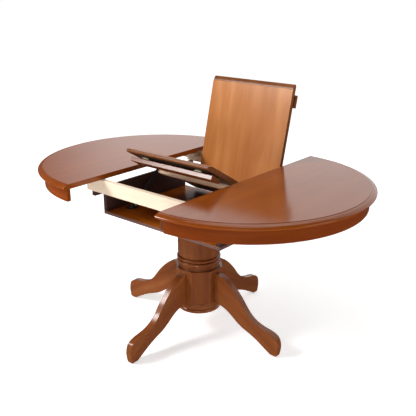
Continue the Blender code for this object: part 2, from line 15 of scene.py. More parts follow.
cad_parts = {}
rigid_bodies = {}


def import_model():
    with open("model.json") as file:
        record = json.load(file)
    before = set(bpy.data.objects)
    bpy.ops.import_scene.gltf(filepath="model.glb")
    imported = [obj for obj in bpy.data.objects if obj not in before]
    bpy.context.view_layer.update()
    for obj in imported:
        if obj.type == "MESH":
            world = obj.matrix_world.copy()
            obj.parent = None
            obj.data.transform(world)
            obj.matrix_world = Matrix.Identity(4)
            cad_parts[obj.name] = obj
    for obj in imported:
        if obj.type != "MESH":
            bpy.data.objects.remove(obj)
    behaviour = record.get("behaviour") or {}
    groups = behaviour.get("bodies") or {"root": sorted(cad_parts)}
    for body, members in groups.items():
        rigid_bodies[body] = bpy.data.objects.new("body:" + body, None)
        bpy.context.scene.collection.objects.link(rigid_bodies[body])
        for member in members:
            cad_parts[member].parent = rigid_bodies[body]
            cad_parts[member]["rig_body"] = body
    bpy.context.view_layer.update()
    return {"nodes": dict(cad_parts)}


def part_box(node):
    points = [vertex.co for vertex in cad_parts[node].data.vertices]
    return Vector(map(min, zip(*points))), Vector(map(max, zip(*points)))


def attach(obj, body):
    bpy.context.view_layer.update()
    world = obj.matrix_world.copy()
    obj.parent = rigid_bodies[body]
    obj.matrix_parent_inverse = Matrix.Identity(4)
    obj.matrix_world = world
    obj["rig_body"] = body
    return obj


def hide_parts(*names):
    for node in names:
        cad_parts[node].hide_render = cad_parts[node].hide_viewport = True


MM = 0.001
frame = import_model()
NODES = frame["nodes"]

# Sizes repeated from the CAD source, for what a node's box doesn't say
HINGE_Y = 255.5 * MM
HINGE_Z = 590.3 * MM
FRONT_TILT = 31.1
REAR_TILT = 76.2
PANEL_THICK = 22 * MM
PANEL_LENGTH = 533.5 * MM
FLAP_PIN_S = 484 * MM
FLAP_PIN_D = 26.5 * MM
APRON_RECESS = 16 * MM
LEG_HALF = 14 * MM
BLOCK_FLAT = 105 * MM
BLOCK_TOP = 312 * MM
BLOCK_BOTTOM = 152 * MM
EAR_DEPTH = 27 * MM
APRON_THICK = 18 * MM
COLUMN_DRUM = 96 * MM
COLUMN_RING = 100 * MM
COLUMN_GROOVE = 91 * MM
COLUMN_BEADS = [(16, 35), (39, 52)]  # bottom and top of each ring, in mm above the block
CAVITY_RADIUS = 60 * MM
CAVITY_BOTTOM = 142 * MM
CAVITY_TOP = 280 * MM
GLIDE_TOP = 4 * MM
COLUMN_BOLT_PLACE = 55 * MM
COLUMN_BOLT_HOLE = 4.4 * MM
FLAP_HINGE_LENGTH = 40 * MM
FLAP_HINGE_WING = 22 * MM
FLAP_HINGE_THICK = 1.6 * MM
FLAP_HINGE_TOP = 4.2 * MM
BARREL_RADIUS = 3.5 * MM
KNUCKLES = 5
BRACKET_FOOT = 4 * MM
POCKET_START = 1 * MM
POCKET_END = 16.9 * MM
POCKET_TOP = -3.7 * MM
POCKET_BOTTOM = -17.7 * MM
GAP = 0.3 * MM
LEG_ROOT = BLOCK_FLAT + GAP
WELD = 1e-6

# Sizes of what the CAD leaves out
KNUCKLE_GAP = 0.3 * MM
SCREW_RADIUS = 3.4 * MM
SCREW_TURN = 0.7  # radians from one screw's recess to the next

# The moulded edge: how far in from the outermost line, and how far below the top face, in mm
EDGE_CREASE = [(24, 0), (23.7, 0.3), (23.4, 1.9), (22.6, 2.3), (21.8, 2.0)]
EDGE_CURVE = [(21, 2), (15, 3.1), (9, 5.2), (4, 8.4), (0.8, 11.6), (0, 14), (1, 17.5), (4.5, 20.8), (7, 22)]


# Mesh helpers


def smooth_path(points, steps):
    """Points along a Catmull-Rom curve through the given points."""
    padded = [points[0], *points, points[-1]]
    path = []
    for a, b, c, d in zip(padded, padded[1:], padded[2:], padded[3:]):
        a, b, c, d = (Vector(p) for p in (a, b, c, d))
        for k in range(steps):
            t = k / steps
            path.append(
                0.5 * ((2 * b) + (c - a) * t + (2 * a - 5 * b + 4 * c - d) * t**2
                       + (3 * b - a - 3 * c + d) * t**3)
            )
    path.append(Vector(points[-1]))
    return [(p.x, p.y) for p in path]


def prism(outline, start, end, place):
    """A straight prism: place(u, v, w) puts the outline's (u, v) at the distance w along the prism."""
    bm = bmesh.new()
    rings = [[bm.verts.new(place(u, v, w)) for u, v in outline] for w in (start, end)]
    bm.faces.new(rings[0])
    bm.faces.new(reversed(rings[1]))
    count = len(outline)
    for i in range(count):
        j = (i + 1) % count
        bm.faces.new((rings[0][i], rings[0][j], rings[1][j], rings[1][i]))
    return bm


def along_x(u, v, w):
    return (w, u, v)


def along_y(u, v, w):
    return (u, w, v)


def along_z(u, v, w):
    return (u, v, w)


def box_mesh(low, high):
    bm = bmesh.new()
    bmesh.ops.create_cube(bm, size=1)
    size, middle = Vector(high) - Vector(low), (Vector(high) + Vector(low)) / 2
    bmesh.ops.transform(bm, matrix=Matrix.Translation(middle) @ Matrix.Diagonal((*size, 1)), verts=bm.verts)
    return bm


def turned(profile, steps):
    """A solid of revolution about Z from (radius, z) points that start and end on the axis."""
    bm = bmesh.new()
    verts = [bm.verts.new((r, 0, z)) for r, z in profile]
    edges = [bm.edges.new(pair) for pair in zip(verts, verts[1:])]
    bmesh.ops.spin(bm, geom=verts + edges, axis=(0, 0, 1), cent=(0, 0, 0), steps=steps, angle=2 * math.pi)
    bmesh.ops.remove_doubles(bm, verts=bm.verts, dist=WELD)
    return bm


def cylinder(radius, low, high, steps=24):
    """A round bar about Z between two heights."""
    return turned([(0, low), (radius, low), (radius, high), (0, high)], steps)


def half_sweep(side, section, recess, steps):
    """Rings of (radius, z) points round half a circle, cut off straight at the recess, without faces."""
    bm = bmesh.new()
    rings = []
    for k in range(steps + 1):
        ring = []
        for r, z in section:
            angle = math.acos(recess / r) * (2 * k / steps - 1)
            ring.append(bm.verts.new((side * r * math.cos(angle), r * math.sin(angle), z)))
        rings.append(ring)
    return bm, rings


def soften(bm, width, segments=2, angle=35, chosen=None):
    """Rounds the arrises, and marks the new faces in the edge layer for the wear in the materials."""
    bmesh.ops.recalc_face_normals(bm, faces=bm.faces)
    layer = bm.faces.layers.float.get("edge") or bm.faces.layers.float.new("edge")
    limit = math.radians(angle)
    edges = [e for e in bm.edges if e.is_manifold and e.calc_face_angle(0) > limit]
    if chosen:
        edges = [e for e in edges if chosen(e)]
    made = bmesh.ops.bevel(
        bm, geom=edges, offset=width, segments=segments, profile=0.5, affect="EDGES", clamp_overlap=True
    )
    for face in made["faces"]:
        if face.is_valid:
            face[layer] = 1.0


def new_object(name, bm, matrix=None):
    bmesh.ops.recalc_face_normals(bm, faces=bm.faces)
    mesh = bpy.data.meshes.new(name)
    bm.to_mesh(mesh)
    bm.free()
    obj = bpy.data.objects.new(name, mesh)
    bpy.context.scene.collection.objects.link(obj)
    if matrix is not None:
        obj.matrix_world = matrix
    return obj


def boolean(obj, bm, operation="DIFFERENCE"):
    """Joins or cuts obj with the mesh bm at once, so that no modifier or helper is left."""
    helper = new_object("helper", bm, obj.matrix_world.copy())
    modifier = obj.modifiers.new("boolean", "BOOLEAN")
    modifier.operation, modifier.object, modifier.solver = operation, helper, "EXACT"
    graph = bpy.context.evaluated_depsgraph_get()
    mesh = bpy.data.meshes.new_from_object(obj.evaluated_get(graph))
    obj.modifiers.clear()
    obj.data = mesh
    bpy.data.objects.remove(helper, do_unlink=True)


def lay_grain(obj, place, seed):
    """Stores for each vertex where it lies in its board: x along the grain. The wood materials read it."""
    count = len(obj.data.vertices)
    co = np.empty(count * 3)
    obj.data.vertices.foreach_get("co", co)
    co = co.reshape(-1, 3)
    offset = np.array([seed * 1.37 % 5.0, seed * 0.73 % 3.0, seed * 0.41 % 2.0])
    grain = place(co) + offset
    layer = obj.data.attributes.new("grain", "FLOAT_VECTOR", "POINT")
    layer.data.foreach_set("vector", grain.astype(np.float32).ravel())


def along_axis(axis):
    """The board's grain runs along a row-frame axis."""
    order = {"X": (0, 1, 2), "Y": (1, 0, 2), "Z": (2, 0, 1)}[axis]
    return lambda co: co[:, order]


def along_direction(direction):
    """The board's grain runs along any direction."""
    x = np.array(Vector(direction).normalized())
    y = np.cross([0, 0, 1], x) if abs(x[2]) < 0.9 else np.array([1.0, 0, 0])
    y = y / np.linalg.norm(y)
    basis = np.stack([x, y, np.cross(x, y)])
    return lambda co: co @ basis.T


def round_centre(x):
    """The grain follows a ring about (x, 0)."""

    def place(co):
        r = np.hypot(co[:, 0] - x, co[:, 1])
        angle = np.arctan2(co[:, 1], np.abs(co[:, 0] - x))
        return np.stack([angle * r.mean(), r, co[:, 2]], axis=1)

    return place


serial = [0]  # counts the dressed pieces, so that each board's grain starts somewhere else


def dress(obj, body, mats, grain=None, replaces=(), smooth_angle=40):
    """Gives a piece its materials, shading, grain and place in the table of pieces."""
    mats = mats if isinstance(mats, (list, tuple)) else [mats]
    indices = [face.material_index for face in obj.data.polygons]
    obj.data.materials.clear()
    for mat in mats:
        obj.data.materials.append(mat)
    obj.data.polygons.foreach_set("material_index", indices)
    obj.data.shade_smooth()
    obj.data.set_sharp_from_angle(angle=math.radians(smooth_angle))
    normals = obj.modifiers.new("normals", "WEIGHTED_NORMAL")
    normals.keep_sharp = True
    serial[0] += 1
    if grain:
        lay_grain(obj, grain, serial[0])
    bpy.context.view_layer.update()
    obj.data.transform(obj.matrix_world)
    obj.matrix_world = Matrix.Identity(4)
    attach(obj, body)
    if replaces:
        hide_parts(*replaces)


def body_of(node):
    return NODES[node]["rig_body"]


def refined(node, mats, bevel, grain=None, segments=2, matrix=None):
    """A CAD node rebuilt with whole flat faces and rounded arrises. matrix is the piece's own frame."""
    bm = bmesh.new()
    bm.from_mesh(NODES[node].data)
    bmesh.ops.remove_doubles(bm, verts=bm.verts, dist=WELD)
    bmesh.ops.dissolve_limit(bm, angle_limit=math.radians(1), verts=bm.verts, edges=bm.edges)
    if matrix is not None:
        bmesh.ops.transform(bm, matrix=matrix.inverted(), verts=bm.verts)
    soften(bm, bevel, segments)
    obj = new_object(node + "_fine", bm, matrix)
    dress(obj, body_of(node), mats, grain, [node])


# Materials

RANGE_SOCKETS = ("From Min", "From Max", "To Min", "To Max")

# How fine the wood's noises are per metre: along the grain, then across it twice
BEND_GRAIN = (0.9, 5.0, 5.0)
FIBRE_GRAIN = (7.0, 420.0, 420.0)
PORE_GRAIN = (22.0, 900.0, 900.0)


class Shader:
    """A small builder of node trees."""

    def __init__(self, name):
        self.mat = bpy.data.materials.new(name)
        self.mat.use_nodes = True
        self.tree = self.mat.node_tree
        self.main = self.tree.nodes["Principled BSDF"]

    def node(self, kind, **values):
        made = self.tree.nodes.new(kind)
        for key, value in values.items():
            if hasattr(made, key):
                setattr(made, key, value)
            else:
                made.inputs[key.replace("_", " ")].default_value = value
        return made

    def link(self, source, target):
        self.tree.links.new(source, target)

    def set(self, **values):
        for key, value in values.items():
            self.main.inputs[key.replace("_", " ")].default_value = value

    def feed(self, socket, name):
        self.link(socket, self.main.inputs[name])

    def grain(self, scale):
        """The board coordinates of lay_grain, scaled."""
        source = self.node("ShaderNodeAttribute", attribute_name="grain")
        mapping = self.node("ShaderNodeMapping")
        mapping.inputs["Scale"].default_value = scale
        self.link(source.outputs["Vector"], mapping.inputs["Vector"])
        return mapping.outputs["Vector"]

    def place(self, scale=(1, 1, 1)):
        """The object's own coordinates, scaled."""
        source = self.node("ShaderNodeTexCoord")
        mapping = self.node("ShaderNodeMapping")
        mapping.inputs["Scale"].default_value = scale
        self.link(source.outputs["Object"], mapping.inputs["Vector"])
        return mapping.outputs["Vector"]

    def noise(self, vector, scale, detail=4.0, roughness=0.55, distortion=0.0):
        made = self.node("ShaderNodeTexNoise")
        for key, value in (
            ("Scale", scale), ("Detail", detail), ("Roughness", roughness), ("Distortion", distortion),
        ):
            made.inputs[key].default_value = value
        self.link(vector, made.inputs["Vector"])
        return made.outputs["Fac"]

    def ramp(self, value, stops):
        made = self.node("ShaderNodeValToRGB")
        elements = made.color_ramp.elements
        while len(elements) < len(stops):
            elements.new(0.5)
        for element, (position, colour) in zip(elements, stops):
            element.position = position
            element.color = (*colour, 1)
        self.link(value, made.inputs["Fac"])
        return made.outputs["Color"]

    def range(self, value, from_low, from_high, to_low, to_high):
        made = self.node("ShaderNodeMapRange")
        for key, number in zip(RANGE_SOCKETS, (from_low, from_high, to_low, to_high)):
            made.inputs[key].default_value = number
        self.link(value, made.inputs["Value"])
        return made.outputs["Result"]

    def mix(self, factor, a, b):
        """Blends two colours. Sockets 6 and 7 and output 2 are the node's colour ones."""
        made = self.node("ShaderNodeMix", data_type="RGBA")
        self._plug(factor, made.inputs["Factor"])
        self._plug(a, made.inputs[6])
        self._plug(b, made.inputs[7])
        return made.outputs[2]

    def math(self, operation, a, b):
        made = self.node("ShaderNodeMath", operation=operation)
        self._plug(a, made.inputs[0])
        self._plug(b, made.inputs[1])
        return made.outputs[0]

    def _plug(self, value, socket):
        if isinstance(value, bpy.types.NodeSocket):
            self.link(value, socket)
        elif isinstance(value, tuple):
            socket.default_value = (*value, 1)
        else:
            socket.default_value = value

    def bump(self, height, strength, distance, before=None):
        made = self.node("ShaderNodeBump")
        made.inputs["Strength"].default_value = strength
        made.inputs["Distance"].default_value = distance
        self.link(height, made.inputs["Height"])
        if before is not None:
            self.link(before, made.inputs["Normal"])
        return made.outputs["Normal"]


def shade(colour, factor):
    return tuple(c * factor for c in colour)


def wood(
    name, colour, light, dark, gloss,
    figure=0.5, pores=0.35, worn=None, wear=0.4, flat_bump=0.25, cloud=0.2, ior=1.36, bands_per_metre=24.0,
):
    """Lacquered or bare wood. colour is the middle tone, and light and dark are the tones of its figure."""
    s = Shader(name)
    # broad figure: slow bands along the board that bend round the noise, as flat-sawn boards show
    bend = s.noise(s.grain(BEND_GRAIN), 1.6, 3.0, 0.5, 0.6)
    bands = s.noise(s.grain((1.2, bands_per_metre, bands_per_metre)), 1.0, 3.5, 0.5, 1.4)
    figured = s.math("ADD", s.math("MULTIPLY", bend, 0.55), s.math("MULTIPLY", bands, 0.45))
    tone = s.ramp(figured, [(0.30, dark), (0.5, colour), (0.68, light)])
    base = s.mix(figure, colour, tone)
    # fine fibres and open pores along the grain
    fibres = s.noise(s.grain(FIBRE_GRAIN), 1.0, 3.0, 0.6)
    pore = s.noise(s.grain(PORE_GRAIN), 1.0, 1.0, 0.5)
    pore_mask = s.range(pore, 0.60, 0.74, 0.0, 1.0)
    fibre_mask = s.range(fibres, 0.35, 0.7, 0.0, 1.0)
    base = s.mix(s.math("MULTIPLY", fibre_mask, pores * 0.55), base, shade(dark, 0.85))
    base = s.mix(s.math("MULTIPLY", pore_mask, pores), base, shade(dark, 0.55))
    # stain lies unevenly
    patches = s.noise(s.place(), 5.0, 3.0)
    base = s.mix(s.range(patches, 0.35, 0.7, 0.0, cloud), base, shade(dark, 0.9))
    # rubbed arrises
    edge = s.node("ShaderNodeAttribute", attribute_name="edge").outputs["Fac"]
    rub = s.range(s.noise(s.place(), 34.0, 4.0, 0.65), 0.45, 0.68, 0.0, 1.0)
    base = s.mix(s.math("MULTIPLY", s.math("MULTIPLY", edge, rub), wear), base, worn or light)
    s.feed(base, "Base Color")
    smear = s.noise(s.place(), 9.0, 4.0, 0.6)
    rough = s.range(smear, 0.3, 0.75, gloss - 0.02, gloss + 0.03)
    rough = s.math("ADD", rough, s.math("MULTIPLY", pore_mask, 0.06))
    s.feed(rough, "Roughness")
    height = s.math("SUBTRACT", s.math("MULTIPLY", fibres, 0.35), s.math("MULTIPLY", pore_mask, 0.5))
    normal = s.bump(height, flat_bump, 0.25 * MM)
    peel = s.noise(s.place(), 160.0, 2.0, 0.5)
    normal = s.bump(peel, 0.06, 0.2 * MM, normal)
    s.feed(normal, "Normal")
    s.set(IOR=ior)
    return s.mat


def metal(name, colour, rough, metallic=1.0, grime=(0.03, 0.025, 0.02), brushed=0.0, wear=None):
    """Plated, painted or brushed metal, with grime in patches and brighter rubbed edges."""
    s = Shader(name)
    patch = s.noise(s.place(), 45.0, 5.0, 0.6)
    base = s.mix(s.range(patch, 0.5, 0.8, 0.0, 0.55), colour, grime)
    if wear:
        edge = s.node("ShaderNodeAttribute", attribute_name="edge").outputs["Fac"]
        rub = s.range(s.noise(s.place(), 120.0, 3.0), 0.45, 0.6, 0.0, 0.8)
        base = s.mix(s.math("MULTIPLY", edge, rub), base, wear)
    s.feed(base, "Base Color")
    s.set(Metallic=metallic)
    s.feed(s.range(patch, 0.3, 0.8, rough - 0.06, rough + 0.16), "Roughness")
    fine = s.noise(s.place((30, 900, 900) if brushed else (400, 400, 400)), 1.0, 2.0)
    s.feed(s.bump(fine, 0.12 + brushed, 0.15 * MM), "Normal")
    return s.mat


def plastic(name, colour, rough):
    """Matte moulded plastic with pale scuffs."""
    s = Shader(name)
    scuff = s.noise(s.place(), 220.0, 4.0, 0.7)
    s.feed(s.mix(s.range(scuff, 0.5, 0.75, 0.0, 0.5), colour, shade(colour, 2.2)), "Base Color")
    s.feed(s.range(scuff, 0.3, 0.8, rough - 0.1, rough + 0.1), "Roughness")
    s.feed(s.bump(scuff, 0.2, 0.2 * MM), "Normal")
    return s.mat


TOP_WOOD = wood(
    "lacquered_top", (0.240, 0.052, 0.0045), (0.290, 0.070, 0.0070), (0.185, 0.036, 0.0030), 0.15,
    figure=0.5, pores=0.12, worn=(0.36, 0.10, 0.012), wear=0.3, flat_bump=0.04, cloud=0.06, ior=1.42,
)
UNDER_WOOD = wood(
    "sealed_underside", (0.115, 0.045, 0.018), (0.15, 0.06, 0.025), (0.08, 0.03, 0.012), 0.55,
    figure=0.6, pores=0.5, flat_bump=0.35,
)
APRON_WOOD = wood(
    "lacquered_apron", (0.205, 0.037, 0.0025), (0.29, 0.070, 0.0060), (0.14, 0.022, 0.0020), 0.20,
    figure=0.8, pores=0.25, worn=(0.34, 0.10, 0.015), wear=0.4, flat_bump=0.08, cloud=0.15, ior=1.24,
)
# The aligners' wood is darker and greyer than the apron's, partly as painted shade for their set-back place
# under the top.
ALIGNER_WOOD = wood(
    "lacquered_aligner", (0.120, 0.032, 0.0090), (0.17, 0.05, 0.015), (0.08, 0.02, 0.006), 0.24,
    figure=0.8, pores=0.25, worn=(0.3, 0.10, 0.03), wear=0.4, flat_bump=0.10,
)
BASE_WOOD = wood(
    "lacquered_base", (0.235, 0.064, 0.0150), (0.32, 0.105, 0.030), (0.135, 0.032, 0.008), 0.20,
    figure=0.85, pores=0.30, worn=(0.40, 0.16, 0.06), wear=0.5, flat_bump=0.12, ior=1.42,
)
LEAF_WOOD = wood(
    "lacquered_leaf", (0.520, 0.200, 0.0580), (0.64, 0.29, 0.105), (0.39, 0.130, 0.030), 0.22,
    figure=0.9, pores=0.22, worn=(0.55, 0.24, 0.08), wear=0.4, flat_bump=0.06, cloud=0.1, ior=1.28,
    bands_per_metre=9.0,
)
LEAF_EDGE = wood(
    "leaf_lipping", (0.20, 0.062, 0.014), (0.28, 0.10, 0.03), (0.13, 0.035, 0.008), 0.28,
    figure=0.7, pores=0.35, flat_bump=0.2,
)
# Near-black underside: a dark stain, and partly painted shade for the shadow under the tilted panels.
LEAF_BACK = wood(
    "leaf_underside", (0.045, 0.022, 0.014), (0.07, 0.035, 0.022), (0.028, 0.013, 0.009), 0.42,
    figure=0.7, pores=0.4, flat_bump=0.3,
)
FLAP_WOOD = wood(
    "lacquered_flap", (0.20, 0.050, 0.010), (0.26, 0.080, 0.018), (0.14, 0.032, 0.006), 0.24,
    figure=0.8, pores=0.3, worn=(0.36, 0.13, 0.04), wear=0.5, flat_bump=0.12,
)
DARK_WOOD = wood(
    "espresso_box", (0.056, 0.0245, 0.0185), (0.080, 0.036, 0.027), (0.032, 0.0145, 0.0110), 0.34,
    figure=0.8, pores=0.4, worn=(0.12, 0.06, 0.045), wear=0.6, flat_bump=0.25,
)
# The box floor's edges: a paler lipping, with a painted reflection of the bright room laid into their
# colour.
BOX_LIPPING_AND_SHEEN = wood(
    "box_lipping_and_painted_sheen", (0.150, 0.072, 0.0560), (0.20, 0.100, 0.078), (0.10, 0.046, 0.035), 0.34,
    figure=0.8, pores=0.4, worn=(0.20, 0.10, 0.07), wear=0.6, flat_bump=0.25,
)
BOX_FLOOR_WOOD = wood(
    "box_floor_veneer", (0.420, 0.098, 0.0050), (0.50, 0.13, 0.009), (0.30, 0.062, 0.003), 0.24,
    figure=0.8, pores=0.3, worn=(0.10, 0.05, 0.035), wear=0.5, flat_bump=0.15, ior=1.22,
)
RAW_WOOD = wood(
    "bare_rail", (0.83, 0.66, 0.50), (0.88, 0.72, 0.57), (0.71, 0.51, 0.35), 0.52,
    figure=0.5, pores=0.18, worn=(0.78, 0.62, 0.46), wear=0.5, flat_bump=0.45, cloud=0.08,
)
BATTEN_WOOD = wood(
    "bare_batten", (0.72, 0.47, 0.31), (0.80, 0.57, 0.40), (0.58, 0.35, 0.21), 0.5,
    figure=0.7, pores=0.35, worn=(0.6, 0.42, 0.27), wear=0.5, flat_bump=0.45,
)
BLACK_STEEL = metal(
    "black_steel_finish", (0.018, 0.018, 0.020), 0.38, metallic=0.0, grime=(0.05, 0.045, 0.04),
    wear=(0.25, 0.24, 0.23),
)
ZINC = metal("zinc_finish", (0.56, 0.56, 0.55), 0.36, grime=(0.25, 0.24, 0.22), brushed=0.08)
BRASS = metal(
    "dull_brass_finish", (0.34, 0.31, 0.20), 0.40, grime=(0.13, 0.12, 0.08), brushed=0.1,
    wear=(0.6, 0.56, 0.4),
)
GLIDE = plastic("glide_finish", (0.035, 0.030, 0.027), 0.55)


# Top halves and aprons


def edge_profile(outer, top):
    """The moulding as (distance from the centre, z) from the flat of the top down to the underside."""
    points = EDGE_CREASE + smooth_path(EDGE_CURVE, 4)
    return [(outer - inward * MM, top - drop * MM) for inward, drop in points]


def make_top(side, name):
    """A half disc whose round edge is moulded, with a plainer wood underneath."""
    low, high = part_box(f"top_{name}")
    centre = low.x if side > 0 else high.x
    bm, rings = half_sweep(side, edge_profile(high.y, high.z), WELD, 144)
    for a, b in zip(rings, rings[1:]):
        for i in range(len(a) - 1):
            bm.faces.new((a[i], a[i + 1], b[i + 1], b[i]))
    bm.faces.new([ring[0] for ring in rings])
    bm.faces.new([ring[-1] for ring in rings])
    bm.faces.new(rings[0] + rings[-1][::-1])
    bmesh.ops.translate(bm, vec=(centre, 0, 0), verts=bm.verts)
    soften(bm, 0.9 * MM, 2, 60)
    obj = new_object(f"top_{name}_fine", bm)
    for face in obj.data.polygons:
        face.material_index = 1 if face.normal.z < -0.9 else 0
    mats = [TOP_WOOD, UNDER_WOOD]
    dress(obj, body_of(f"top_{name}"), mats, along_axis("Y"), [f"top_{name}"], 32)


def make_apron(side, name):
    """A plain half ring under the top."""
    node = f"apron_{name}"
    low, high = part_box(node)
    centre = (low.x if side > 0 else high.x) - side * APRON_RECESS
    outer = abs((high.x if side > 0 else low.x) - centre)
    inner = outer - APRON_THICK
    section = [(inner, low.z), (outer, low.z), (outer, high.z), (inner, high.z)]
    bm, rings = half_sweep(side, section, APRON_RECESS, 120)
    for a, b in zip(rings, rings[1:]):
        for i in range(4):
            j = (i + 1) % 4
            bm.faces.new((a[i], a[j], b[j], b[i]))
    bm.faces.new(rings[0])
    bm.faces.new(rings[-1])
    bmesh.ops.translate(bm, vec=(centre, 0, 0), verts=bm.verts)
    soften(bm, 1.6 * MM, 3, 50)
    obj = new_object(f"{node}_fine", bm)
    dress(obj, body_of(node), APRON_WOOD, round_centre(centre), [node])


def make_aligner(where):
    """A block with a round nose towards the other half's apron."""
    node = f"apron_aligner_{where}"
    low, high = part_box(node)
    radius = (high.y - low.y) / 2
    middle = (high.y + low.y) / 2
    outline = [
        (low.x + radius - radius * math.sin(a), middle + radius * math.cos(a))
        for a in (math.pi * k / 20 for k in range(21))
    ]
    outline += [(high.x, low.y), (high.x, high.y)]
    bm = prism(outline, low.z, high.z, along_z)
    soften(bm, 1.2 * MM, 2, 50)
    obj = new_object(f"{node}_fine", bm)
    dress(obj, body_of(node), ALIGNER_WOOD, along_axis("Z"), [node])


# Pedestal


def make_column():
    """A turned drum with two rings over an octagonal block, with the cavity for the bolts."""
    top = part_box("pedestal_column")[1].z
    groove, bead = COLUMN_GROOVE, COLUMN_RING - COLUMN_GROOVE
    foot = BLOCK_FLAT - 9 * MM
    profile = [(0, BLOCK_TOP - 8 * MM), (foot, BLOCK_TOP - 8 * MM), (foot, BLOCK_TOP - 1 * MM)]
    profile += [(groove + 1 * MM, BLOCK_TOP - 1 * MM), (groove, BLOCK_TOP + 5 * MM)]
    profile += [(groove - 0.5 * MM, BLOCK_TOP + 11 * MM), (groove, BLOCK_TOP + 14.5 * MM)]
    for start, end in COLUMN_BEADS:
        centre, half = BLOCK_TOP + (start + end) / 2 * MM, (end - start) / 2 * MM
        for k in range(13):
            angle = math.pi * (k / 12 - 0.5)
            profile.append((groove + bead * math.cos(angle) ** 0.8, centre + half * math.sin(angle)))
        profile.append((groove - 1.2 * MM, centre + half + 1.2 * MM))
    cove = [(COLUMN_DRUM - 5 * MM, BLOCK_TOP + 54 * MM), (COLUMN_DRUM - 2.2 * MM, BLOCK_TOP + 58 * MM)]
    cove += [(COLUMN_DRUM - 0.4 * MM, BLOCK_TOP + 66 * MM), (COLUMN_DRUM, BLOCK_TOP + 78 * MM)]
    profile += smooth_path(cove, 4)
    profile += [(COLUMN_DRUM, top - 4 * MM)]
    arris = 3 * MM
    profile += [
        (COLUMN_DRUM - arris + arris * math.cos(a), top - arris + arris * math.sin(a))
        for a in (math.pi / 8 * k for k in range(5))
    ]
    profile.append((0, top))
    column = new_object("pedestal_column_fine", turned(profile, 96))
    corner = BLOCK_FLAT / math.cos(math.pi / 8)
    eighths = [math.pi * (k + 0.5) / 4 for k in range(8)]
    octagon = [(corner * math.cos(a), corner * math.sin(a)) for a in eighths]
    block = prism(octagon, BLOCK_BOTTOM, BLOCK_TOP, along_z)
    soften(block, 2 * MM, 3, 30)
    boolean(column, block, "UNION")
    boolean(column, cylinder(CAVITY_RADIUS, CAVITY_BOTTOM, CAVITY_TOP, 48))
    dress(column, "frame", BASE_WOOD, along_axis("Z"), ["pedestal_column"], 30)


def make_cap():
    """A disc with a moulding on either side of a groove."""
    low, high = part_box("base_cap")
    radius, base, top = high.x, low.z, high.z
    groove = base + 21 * MM
    lower = [(radius - 13 * MM, base), (radius - 7 * MM, base + 2 * MM), (radius - 3.2 * MM, base + 8 * MM)]
    lower += [(radius - 3.6 * MM, base + 14 * MM), (radius - 7 * MM, groove - 2 * MM)]
    upper = [(radius - 9 * MM, groove), (radius - 3 * MM, groove + 3 * MM), (radius, groove + 9 * MM)]
    upper += [(radius, top - 9 * MM), (radius - 1.6 * MM, top - 3 * MM), (radius - 5 * MM, top)]
    profile = [(0, base), *smooth_path(lower, 4), *smooth_path(upper, 4), (0, top)]
    cap = new_object("base_cap_fine", turned(profile, 96))
    dress(cap, "frame", BASE_WOOD, along_axis("Y"), ["base_cap"])


def leg_outline(reach):
    """The side of a leg: distance from the pedestal's axis, and height. The lists are in mm."""
    sole = GLIDE_TOP + GAP
    upper = [(135, 292), (162, 284), (192, 263), (220, 237), (250, 204), (280, 165), (310, 137), (340, 121)]
    upper += [(372, 112), (406, 106), (433, 97), (450, 81)]
    lower = [(378, 27), (350, 43), (320, 58), (290, 70), (258, 83), (229, 100), (198, 122), (165, 140)]
    top = [(LEG_ROOT, 295 * MM)] + [(r * MM, z * MM) for r, z in upper]
    top += [(reach, 50 * MM), (reach - 4 * MM, 18 * MM), (reach - 7 * MM, sole)]
    bottom = [(reach - 39 * MM, sole)] + [(r * MM, z * MM) for r, z in lower] + [(LEG_ROOT, 158 * MM)]
    return smooth_path(top, 7) + smooth_path(bottom, 6)


def make_leg(name, turn):
    node = f"leg_{name}"
    low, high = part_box(node)
    reach = max(abs(low.x), abs(low.y), abs(high.x), abs(high.y))
    bm = prism(leg_outline(reach), -LEG_HALF, LEG_HALF, along_y)

    def outer_arris(edge):
        """An edge that follows the outline, away from the face on the block."""
        a, b = (v.co for v in edge.verts)
        return min(a.x, b.x) > LEG_ROOT + 10 * WELD and abs(a.y - b.y) < WELD

    soften(bm, 5 * MM, 4, 40, outer_arris)
    obj = new_object(f"{node}_fine", bm, Matrix.Rotation(turn, 4, "Z"))
    dress(obj, "frame", BASE_WOOD, along_direction((0.86, 0, -0.5)), [node], 35)
    refined(f"foot_glide_{name}", GLIDE, 0.8 * MM)
    refined(f"leg_bolt_{name}", ZINC, 0.7 * MM)


# Leaf: each panel is built flat about its centre hinge, then turned to where the CAD holds it


def leaf_matrix(sign):
    tilt = math.radians(REAR_TILT if sign > 0 else -FRONT_TILT)
    return Matrix.Translation((0, HINGE_Y, HINGE_Z)) @ Matrix.Rotation(tilt, 4, "X")


